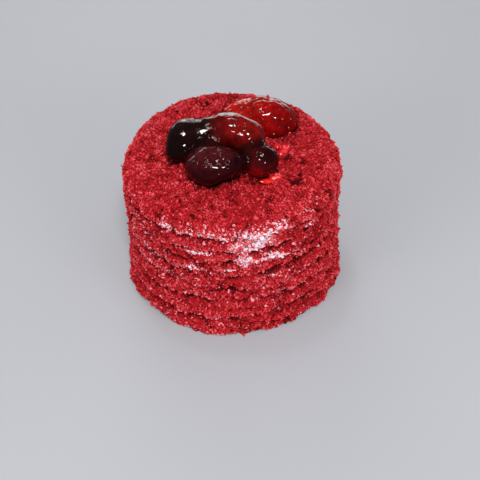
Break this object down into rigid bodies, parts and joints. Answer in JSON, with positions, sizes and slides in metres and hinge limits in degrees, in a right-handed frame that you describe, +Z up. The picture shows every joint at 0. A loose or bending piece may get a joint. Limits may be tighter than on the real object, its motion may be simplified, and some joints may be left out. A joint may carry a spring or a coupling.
{
  "type": "raspberry cake",
  "caption": "Small round layer cake, coated all over in cream and red sponge crumbs, with glazed berries heaped on top.",
  "frame": {"origin": "middle of the flat base, on the surface that the cake rests on", "axes": "+Z up; -Y towards the front, the side that the picture shows; +X to the right as seen from the front"},
  "size_m": [0.1031, 0.1019, 0.0858],
  "materials": {
    "crumb_coat": "matte",
    "dark_crumb": "matte",
    "cream": "satin",
    "strawberry_flesh": "gloss",
    "dark_berry_skin": "gloss",
    "raspberry_skin": "gloss",
    "glaze": "gloss"
  },
  "bodies": {
    "root": {"cake_body": "crumb_coat", "strawberry_half": "strawberry_flesh", "dark_berry": "dark_berry_skin", "raspberry_front": "raspberry_skin", "raspberry_middle": "raspberry_skin", "raspberry_small": "raspberry_skin"}
  },
  "joints": []
}
